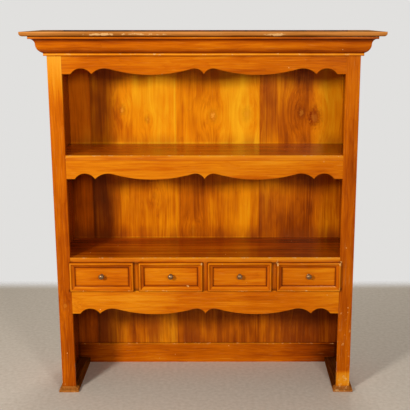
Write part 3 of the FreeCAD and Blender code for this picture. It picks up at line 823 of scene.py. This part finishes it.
def shelf_tone(spot):
    """Shelf tops are browner than their front edges, and brownest at the back and at the right end. The worn
    line along the top of the front edge is also painted pale, as a painted highlight.
    """
    upper = spot[Z] > LOWER_TOP + HAIR
    if spot[Y] > SHELF_NOSE:
        along = between(spot[X], UPPER_SHELF_BANDS if upper else LOWER_SHELF_BANDS)
        into = between(spot[Y], SHELF_DEPTH_BANDS)
        return SHELF_TONE + along * into + between(spot[Y], SHELF_FRONT_BANDS)
    if on_nose_line(spot):
        return UPPER_NOSE_HIGHLIGHT_TONE if upper else LOWER_NOSE_HIGHLIGHT_TONE
    return SHELF_EDGE_TONE


def shelf_rub(spot):
    """A shelf is worn along its front edge."""
    return 0.42 if spot[Y] <= SHELF_NOSE and on_nose_line(spot) else 0.05


# Painted shadow on the inner run of each foot, behind its stile
LEDGE_SHADOW_TONE = 0.05
LEFT_FOOT_TONE = 0.38
RIGHT_FOOT_TONE = 0.44
OUTER_SIDE_TONE = 0.42
# Painted shade on the inner face of a side, by height from the floor
INNER_SIDE_SHADE_BANDS = [(0.40, 0.04), (0.46, 0.22)]
# Up the stiles, in metres from the floor
LEFT_STILE_BANDS = [(0.0, 0.29), (0.6, 0.27), (1.0, 0.31), (1.2, 0.50), (1.4, 0.80)]
RIGHT_STILE_BANDS = [
    (0.02, 0.62), (0.035, 0.78), (0.075, 0.74), (0.09, 0.34), (0.4, 0.29), (0.9, 0.40), (1.4, 0.44),
]
RIGHT_STILE_RUB = [(0.0, 0.42), (0.2, 0.38), (0.5, 0.3), (0.8, 0.12), (1.4, 0.05)]


def left_stile_tone(spot):
    return between(spot[Z], LEFT_STILE_BANDS)


def right_stile_tone(spot):
    """The foot of this stile is worn to a golden colour."""
    return between(spot[Z], RIGHT_STILE_BANDS)


def right_stile_rub(spot):
    return between(spot[Z], RIGHT_STILE_RUB)


def foot_tone(spot):
    """The inner run of a foot, behind the stile, is painted dark as painted shadow of the stile."""
    if abs(spot[X]) < LEDGE_EDGE and spot[Y] > LEDGE_FRONT:
        return LEDGE_SHADOW_TONE
    return RIGHT_FOOT_TONE if spot[X] > 0 else LEFT_FOOT_TONE


def side_tone(spot):
    """A side is painted darker inside than out, and darkest under the drawers, as painted shade."""
    if abs(spot[X]) > INNER_FACE + 2 * MM:
        return OUTER_SIDE_TONE
    return between(spot[Z], INNER_SIDE_SHADE_BANDS)


# Up the crown and the cap, in millimetres from their feet
# Painted shade in the crown's hollows and creases, and a painted highlight, partly wear, on its bead and
# fillet
CROWN_SHADING_BANDS = [
    (0.0, 0.04), (4.0, 0.80), (8.0, 0.70), (11.0, 0.0), (15.0, 0.20), (26.0, 0.38), (40.0, 0.47),
    (52.0, 0.34), (61.5, 0.04), (65.0, 0.06), (67.5, 0.50), (71.0, 0.42), (74.0, 0.08),
]
CROWN_RUB = [
    (0.0, 0.05), (4.0, 0.46), (8.0, 0.46), (11.0, 0.04), (65.0, 0.04), (67.5, 0.30), (71.0, 0.30),
    (74.0, 0.05),
]
CAP_BANDS = [(0.0, 0.18), (6.0, 0.43), (14.0, 0.53), (17.0, 0.66)]


def crown_tone(spot):
    """The hollows and creases of the crown are painted dark as painted shade. Its bead and fillet are
    painted pale, partly worn and partly a painted highlight.
    """
    return between((spot[Z] - CROWN_FOOT) / MM, CROWN_SHADING_BANDS)


def crown_rub(spot):
    """The bead and the fillet of the crown are rubbed pale."""
    return between((spot[Z] - CROWN_FOOT) / MM, CROWN_RUB)


def cap_tone(spot):
    return between((spot[Z] - CAP_FOOT) / MM, CAP_BANDS)


# Across the back boards, left to right: the tone in the upper bay, and how the other bays differ from it.
# At the left end, the filler is painted paler in the upper bay as painted light, and darker in the lower
# bays as painted shadow of the left side.
HEART_BANDS = [
    (-0.590, 0.66), (-0.560, 0.65), (-0.520, 0.80), (-0.492, 0.74), (-0.491, 0.60), (-0.460, 0.51),
    (-0.430, 0.53), (-0.400, 0.64), (-0.360, 0.69), (-0.280, 0.76), (-0.180, 0.76), (-0.132, 0.72),
    (-0.130, 0.53), (-0.080, 0.55), (0.000, 0.60), (0.050, 0.65), (0.080, 0.77), (0.160, 0.83),
    (0.228, 0.76), (0.230, 0.61), (0.320, 0.57), (0.400, 0.44), (0.450, 0.46), (0.480, 0.72),
    (0.540, 0.78), (0.590, 0.64),
]
MIDDLE_BAY = [
    (-0.590, -0.23), (-0.550, -0.15), (-0.520, -0.15), (-0.492, -0.25), (-0.490, -0.06), (-0.470, 0.09),
    (-0.410, 0.02), (-0.350, -0.10), (-0.300, -0.07), (-0.220, -0.01), (-0.130, -0.02), (0.000, 0.10),
    (0.060, 0.07), (0.120, 0.0), (0.228, 0.02), (0.232, 0.12), (0.400, 0.08), (0.460, -0.01),
]
LOW_BAY = [
    (-0.590, -0.12), (-0.492, -0.12), (-0.490, -0.06), (-0.430, 0.08), (-0.340, -0.05), (-0.280, -0.02),
    (-0.220, 0.20), (-0.140, 0.18), (-0.130, 0.05), (0.040, -0.05), (0.120, -0.14), (0.228, -0.13),
    (0.232, 0.01), (0.370, 0.12), (0.440, -0.02), (0.500, -0.15),
]
LOW_BAY_TONE = 0.53
LOW_BAY_SHARE = 0.35  # how much of the upper bay's streaks shows under the drawers
REAR_TONE = 0.5
REAR_SHARE = 0.8
HEART_MEAN = 0.65
# Painted shadow: the back boards inside the cornice tray are painted near black
TRAY_SHADOW_TONE = 0.08
DUST_AND_SHEEN_BANDS = [(0.0, 0.20), (0.3, 0.05)]  # the pale line along a shelf, partly dust and partly a painted highlight, is palest at the left
# Painted shade just above the lower shelf, in metres up from it
OVER_SHELF_SHADE_BANDS = [(0.0, -0.12), (0.04, -0.04), (0.07, 0.0)]
# Painted shade: the back boards are painted darker below the upper bay, by height in metres
HEIGHT_SHADE_BANDS = [(0.1, -0.18), (0.4, -0.15), (0.6, -0.17), (0.9, -0.17), (1.0, 0.0)]
BOARD_JOINTS = {-0.492: -0.15, -0.1313: 0.2, 0.2293: -0.12}  # how much paler or darker each joint shows
LOW_JOINT = -0.15


def back_tone(spot):
    """The boards are streaky. They are painted darker, as painted shade, in the lower two bays, in the tray
    and where they meet a shelf.
    """
    heart = between(spot[X], HEART_BANDS)
    if spot[Y] > REAR_FACE - 2 * MM:
        return REAR_TONE + REAR_SHARE * (heart - HEART_MEAN)
    if spot[Z] > TRAY_FLOOR:
        return TRAY_SHADOW_TONE
    low_bay = spot[Z] < LOW_BAY_TOP
    if low_bay:
        heart = LOW_BAY_TONE + LOW_BAY_SHARE * (heart - LOW_BAY_TONE) + between(spot[X], LOW_BAY)
    elif spot[Z] < MIDDLE_BAY_TOP:
        heart += between(spot[X], MIDDLE_BAY) + between(spot[Z] - LOWER_TOP, OVER_SHELF_SHADE_BANDS)
    # A pale line, partly dust and partly a painted highlight, where a board meets a shelf
    if any(0.0 <= spot[Z] - shelf < DUST_AND_SHEEN_LINE + HAIR for shelf in SHELF_TOPS):
        heart += between(spot[X], DUST_AND_SHEEN_BANDS)
    for joint, change in BOARD_JOINTS.items():
        if abs(spot[X] - joint) < HALF_SEAM + HAIR / 2:
            heart += LOW_JOINT if low_bay else change
    return heart + between(spot[Z], HEIGHT_SHADE_BANDS)


def back_stain_and_shade(spot):
    """A red-brown stain down the right board. The same red-brown over each shelf, under the drawers and
    beside the filler is painted shade.
    """
    return max(
        between(spot[X], [(0.228, 0.0), (0.231, 0.5), (0.300, 0.4), (0.345, 0.15), (0.40, 0.0)]),
        between(spot[X], [(-0.4915, 0.0), (-0.491, 0.35), (-0.44, 0.15), (-0.40, 0.0)]),
        between(spot[Z] - LOWER_TOP, [(-0.001, 0.0), (0.0, 0.7), (0.06, 0.0)]),
        between(spot[Z] - UPPER_TOP, [(-0.001, 0.0), (0.0, 0.4), (0.05, 0.0)]),
        between(spot[Z], [(0.40, 0.5), (0.45, 0.0)]),
    )


# Along the plinth rail: painted shadow at its ends, where the sides shade it
RAIL_SHADOW_BANDS = [
    (-0.58, 0.0), (-0.50, 0.24), (-0.38, 0.40), (-0.33, 0.42), (0.32, 0.42), (0.41, 0.30), (0.50, 0.17),
    (0.58, 0.0),
]
RAIL_EDGE_LIFT = 0.3


def rail_tone(spot):
    """The plinth rail is painted dark at its ends, as painted shadow of the sides, and is pale along its top
    edge.
    """
    return between(spot[X], RAIL_SHADOW_BANDS) + (RAIL_EDGE_LIFT if spot[Z] > RAIL_EDGE else 0.0)


def rail_rub(spot):
    return 0.45 if spot[Z] > RAIL_EDGE else 0.12


# Knobs

KNOB_LENGTH = 25.0
# Dome, waist and foot, each as an end, two handles and an end, by radius and distance from the drawer
KNOB_CURVES = [
    ((0.0, KNOB_LENGTH), (6.2, KNOB_LENGTH), (11.0, 21.6), (11.0, 17.2)),
    ((11.0, 17.2), (11.0, 11.6), (4.6, 11.6), (4.6, 7.0)),
    ((4.6, 7.0), (4.6, 2.2), (8.0, 4.2), (8.0, 1.4)),
]
KNOB_SPIGOT = [(8.0, 0.0), (2.5, 0.0), (2.5, -12.0), (0.0, -12.0)]
KNOB_STEPS = 8
KNOB_SEGMENTS = 40
TARNISH = [(0.3, srgb(84, 56, 30)), (0.55, srgb(140, 102, 62)), (0.8, srgb(198, 160, 112))]


def knob_outline():
    """Half the outline of a knob, from the tip of its dome to the end of its spigot, in millimetres."""
    points = []
    for start, first_handle, second_handle, end in KNOB_CURVES:
        points += interpolate_bezier(start, first_handle, second_handle, end, KNOB_STEPS)[:-1]
    return points + [KNOB_CURVES[-1][-1]] + KNOB_SPIGOT


def turn_knob(drawer, finish):
    """Turns a knob on the axis of its CAD node."""
    node = f"{drawer}_knob"
    low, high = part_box(node)
    front = low[Y] + KNOB_LENGTH * MM
    shape = bmesh.new()
    line = [shape.verts.new((radius * MM, -out * MM, 0.0)) for radius, out in knob_outline()]
    edges = [shape.edges.new(pair) for pair in zip(line, line[1:])]
    bmesh.ops.spin(
        shape, geom=line + edges, cent=(0, 0, 0), axis=(0, 1, 0), angle=math.tau,
        steps=KNOB_SEGMENTS, use_merge=True,
    )
    bmesh.ops.remove_doubles(shape, verts=shape.verts, dist=MERGE)
    bmesh.ops.recalc_face_normals(shape, faces=shape.faces)
    middle = Vector(((low[X] + high[X]) / 2, front, (low[Z] + high[Z]) / 2))
    bmesh.ops.translate(shape, verts=shape.verts, vec=middle)
    for face in shape.faces:
        face.smooth = True
    knob = piece_from(shape, node + "_turned")
    knob.data.materials.append(finish)
    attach(knob, drawer)
    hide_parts(node)


def aged_brass():
    brass = new_finish("aged_brass")
    tarnish = brass.cloud(brass.place(), scale=140.0, detail=4.0, rough=0.65)
    roughness = brass.rise(tarnish, 0.3, 0.7, 0.5, 0.3)
    return brass.surface(Base_Color=brass.ramp(tarnish, TARNISH), Metallic=0.6, Roughness=roughness)


# Nails

NAILED_BOARDS = ["top_board", "upper_shelf", "lower_shelf", "drawer_deck", "back_plinth_rail"]
NAIL_INSET = 45 * MM
SIDE_NAIL_INSET = 5 * MM
NAIL_SPACING = 190 * MM
NAIL_SINK = 0.3 * MM
WIDE_BOARD = 200 * MM
HEAD_RADIUS = 3.0 * MM
HEAD_TOP_RADIUS = 2.2 * MM
HEAD_HEIGHT = 0.8 * MM
HEAD_SIDES = 14
HEAD_LEAN = 0.1
NAIL_SEED = 5
RUST = [(0.35, srgb(70, 62, 58)), (0.55, srgb(104, 84, 68)), (0.75, srgb(112, 66, 36))]


def nail_spots():
    """Two nails through each wide back board into every shelf, one through the filler, and side rows."""
    spots = []
    rear = REAR_FACE - NAIL_SINK
    for shelf in NAILED_BOARDS:
        level = (start_of(shelf, Z) + end_of(shelf, Z)) / 2
        for board in BACK_BOARDS:
            left, right = start_of(board, X), end_of(board, X)
            places = [left + NAIL_INSET, right - NAIL_INSET]
            if right - left < WIDE_BOARD:
                places = [(left + right) / 2]
            spots.extend((place, rear, level) for place in places)
    floor, top = start_of(FILLER_BOARD, Z), end_of(FILLER_BOARD, Z)
    left_row = start_of(BACK_BOARDS[0], X) + SIDE_NAIL_INSET
    right_row = end_of(BACK_BOARDS[-1], X) - SIDE_NAIL_INSET
    rows = int((top - floor) / NAIL_SPACING)
    for row in range(1, rows):
        level = floor + (top - floor) * row / rows
        spots.extend((edge, rear, level) for edge in (left_row, right_row))
    return spots


def nail_heads(finish):
    """A node tree that sets a nail head, facing backwards, on each point of a mesh."""
    tree = bpy.data.node_groups.new("nail_heads", "GeometryNodeTree")
    face = tree.interface
    face.new_socket("Spots", in_out="INPUT", socket_type="NodeSocketGeometry")
    sizes = {
        name: face.new_socket(name, in_out="INPUT", socket_type=kind).identifier
        for name, kind in (("Head Radius", "NodeSocketFloat"), ("Head Height", "NodeSocketFloat"),
                           ("Seed", "NodeSocketInt"))
    }
    face.new_socket("Nails", in_out="OUTPUT", socket_type="NodeSocketGeometry")
    given = tree.nodes.new("NodeGroupInput")
    head = tree.nodes.new("GeometryNodeMeshCone")
    head.inputs["Vertices"].default_value = HEAD_SIDES
    head.inputs["Radius Top"].default_value = HEAD_TOP_RADIUS
    lean = tree.nodes.new("FunctionNodeRandomValue")
    lean.data_type = "FLOAT_VECTOR"
    lean.inputs["Min"].default_value = (-math.pi / 2 - HEAD_LEAN, -HEAD_LEAN, -HEAD_LEAN)
    lean.inputs["Max"].default_value = (-math.pi / 2 + HEAD_LEAN, HEAD_LEAN, HEAD_LEAN)
    driven = tree.nodes.new("GeometryNodeInstanceOnPoints")
    whole = tree.nodes.new("GeometryNodeRealizeInstances")
    steel = tree.nodes.new("GeometryNodeSetMaterial")
    steel.inputs["Material"].default_value = finish
    result = tree.nodes.new("NodeGroupOutput")
    for start, end in (
        (given.outputs["Spots"], driven.inputs["Points"]),
        (given.outputs["Head Radius"], head.inputs["Radius Bottom"]),
        (given.outputs["Head Height"], head.inputs["Depth"]),
        (given.outputs["Seed"], lean.inputs["Seed"]),
        (head.outputs["Mesh"], driven.inputs["Instance"]),
        (lean.outputs["Value"], driven.inputs["Rotation"]),
        (driven.outputs["Instances"], whole.inputs["Geometry"]),
        (whole.outputs["Geometry"], steel.inputs["Geometry"]),
        (steel.outputs["Geometry"], result.inputs["Nails"]),
    ):
        tree.links.new(start, end)
    return tree, sizes


def drive_nails(finish):
    """Makes all the nail heads one plain mesh that rides on the carcass."""
    points = bpy.data.meshes.new("nail_spots")
    points.from_pydata(nail_spots(), [], [])
    holder = bpy.data.objects.new("nail_spots", points)
    scene.collection.objects.link(holder)
    heads = holder.modifiers.new("heads", "NODES")
    tree, sizes = nail_heads(finish)
    heads.node_group = tree
    heads[sizes["Head Radius"]] = HEAD_RADIUS
    heads[sizes["Head Height"]] = HEAD_HEIGHT
    heads[sizes["Seed"]] = NAIL_SEED
    seen = holder.evaluated_get(bpy.context.evaluated_depsgraph_get())
    mesh = bpy.data.meshes.new_from_object(seen)
    bpy.data.objects.remove(holder)
    nails = bpy.data.objects.new("back_nails", mesh)
    scene.collection.objects.link(nails)
    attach(nails, "carcass")


def rusty_steel():
    steel = new_finish("rusty_steel")
    rust = steel.cloud(steel.place(), scale=300.0, detail=4.0, rough=0.6)
    roughness = steel.rise(rust, 0.35, 0.75, 0.45, 0.8)
    return steel.surface(Base_Color=steel.ramp(rust, RUST), Metallic=0.7, Roughness=roughness)


# Drawers

MOULDING_WIDTH = 22 * MM
MOULDING_SHADING_BANDS = [  # from the outer edge of a drawer moulding inwards, in millimetres: a dark outer edge and hollow, partly painted shade, and a pale nose, partly a painted highlight
    (0.0, 0.12), (1.5, 0.46), (4.0, 0.66), (7.0, 0.58), (8.5, 0.34), (11.0, 0.46), (16.0, 0.44),
    (19.0, 0.26), (22.0, 0.04),
]
BOTTOM_SHADING_BANDS = [  # the same on the bottom stick, whose hollow faces up and is painted paler as painted light
    (0.0, 0.18), (1.5, 0.52), (4.0, 0.64), (7.0, 0.60), (9.0, 0.48), (16.0, 0.66), (19.0, 0.54),
    (22.0, 0.16),
]
PANEL_SHADOW_BANDS = [(20.0, -0.4), (22.0, -0.34), (24.5, -0.1), (30.0, 0.0)]  # against the middle of the panel: a painted shadow line just inside the moulding
NOSE = (1.0, 7.5)  # the raised nose of a moulding, in millimetres from its outer edge
MITRE_HAIR = 0.1  # slack at the mitres, in millimetres
DRAWERS = {"drawer_1": 0.50, "drawer_2": 0.51, "drawer_3": 0.61, "drawer_4": 0.55}  # tone of each panel


def dress_drawer(drawer, tone):
    low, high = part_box(f"{drawer}_moulding")

    def inset(spot):
        """How far a spot lies inside the outline of the moulding, in millimetres."""
        return min(spot[X] - low[X], high[X] - spot[X], spot[Z] - low[Z], high[Z] - spot[Z]) / MM

    def panel_tone(spot):
        return tone + between(inset(spot), PANEL_SHADOW_BANDS)

    def moulding_tone(spot):
        """The hollow of the moulding is painted dark, partly pooled stain and partly painted shade. It is
        least dark along the bottom, which is painted paler as painted light.
        """
        from_foot = (spot[Z] - low[Z]) / MM
        if from_foot < inset(spot) + MITRE_HAIR:
            return between(from_foot, BOTTOM_SHADING_BANDS)
        return between(inset(spot), MOULDING_SHADING_BANDS)

    def nose_rub(spot):
        """The nose of the moulding is rubbed by hands, most of all along the bottom."""
        if not NOSE[0] < inset(spot) < NOSE[1]:
            return LIGHT_RUB
        return 0.42 if spot[Z] < low[Z] + MOULDING_WIDTH else 0.3

    pieces = [
        dress(f"{drawer}_front", varnished, "varnished_timber", arris=0.8, grid=4.0, tone=panel_tone),
        dress(f"{drawer}_moulding", varnished, "varnished_timber", arris=0.4, nick=0.2,
              tone=moulding_tone, rubbed=nose_rub),
    ]
    for board in ("left_side", "right_side", "back", "bottom"):
        pieces.append(dress(f"{drawer}_{board}", pale, "drawer_timber", arris=0.8, grid=40.0))
    return pieces


# Putting it together

STILE = {"arris": 1.5, "edge_wear": 0.45}
SIDE = {"arris": 1.5, "tone": side_tone}
MUNTIN = {"tone": 0.42}
CROWN = {
    "arris": 0.5, "edge_wear": 0.5, "tone": crown_tone, "rubbed": crown_rub,
    "cuts": [(Z, CROWN_FOOT + level * MM) for level in (4.0, 8.0, 15.0, 61.5, 67.5, 71.0)],
}
CAP = {"arris": 1.0, "edge_wear": 0.55, "tone": cap_tone, "rubbed": 0.12}
FOOT = {
    "arris": 0.8, "edge_wear": 0.5, "tone": foot_tone,
    "cuts": [(X, -LEDGE_EDGE), (X, LEDGE_EDGE), (Y, LEDGE_FRONT)],
}
SHELF = {
    "arris": 2.2, "edge_wear": 0.6, "tone": shelf_tone, "rubbed": shelf_rub,
    "cuts": [(Y, SHELF_NOSE)] + [(Z, shelf - NOSE_LINE) for shelf in SHELF_TOPS],
}
BACK_BOARD = {
    "edge_wear": 0.45, "tone": back_tone, "stain_and_shade": back_stain_and_shade, "rubbed": 0.0, "rear": bare_back,
    "cuts": [
        *((X, joint + side * HALF_SEAM) for joint in BOARD_JOINTS for side in (-1, 1)),
        *((Z, shelf + DUST_AND_SHEEN_LINE) for shelf in SHELF_TOPS),
        (Z, TRAY_FLOOR),
    ],
}
PLINTH_RAIL = {"tone": rail_tone, "rubbed": rail_rub, "cuts": [(Z, RAIL_EDGE)]}
FRAME_PIECES = {
    "left_stile": {**STILE, "tone": left_stile_tone},
    "right_stile": {**STILE, "tone": right_stile_tone, "rubbed": right_stile_rub},
    "left_side": SIDE,
    "right_side": SIDE,
    "frieze_rail": {"tone": 0.45},
    "upper_apron": {"tone": 0.54},
    "lower_apron": {"tone": 0.61, "rubbed": 0.12},
    "muntin_1": MUNTIN,
    "muntin_2": MUNTIN,
    "muntin_3": MUNTIN,
    "crown_front": CROWN,
    "crown_left": CROWN,
    "crown_right": CROWN,
}
WORN_PIECES = {
    "left_foot": FOOT,
    "right_foot": {**FOOT, "rubbed": 0.2},
    "cap_front": CAP,
    "cap_left": CAP,
    "cap_right": CAP,
}
INNER_PIECES = ["drawer_deck", "top_board", "partition_1", "partition_2", "partition_3", "drawer_guides"]

set_up_camera()
light_the_room()
lay_floor()
boards = []
for node, care in FRAME_PIECES.items():
    boards.append(dress(node, varnished, "varnished_timber", **care))
for node, care in WORN_PIECES.items():
    boards.append(dress(node, worn_varnish, "varnished_timber", **care))
for node in ("upper_shelf", "lower_shelf"):
    boards.append(dress(node, shelf_varnish, "varnished_timber", **SHELF))
for node in BACK_BOARDS:
    finish = filler_varnish_and_shade if node == FILLER_BOARD else back_varnish
    boards.append(dress(node, finish, "back_timber", **BACK_BOARD))
boards.append(dress("back_plinth_rail", varnished, "back_timber", **PLINTH_RAIL))
for node in INNER_PIECES:
    boards.append(dress(node, planed, "inner_timber", arris=0.8, grid=40.0))
brass = aged_brass()
for drawer, tone in DRAWERS.items():
    boards.extend(dress_drawer(drawer, tone))
    turn_knob(drawer, brass)
# Grime and painted shade on every piece, where other timber is close
paint_grime_and_shade(boards)
drive_nails(rusty_steel())
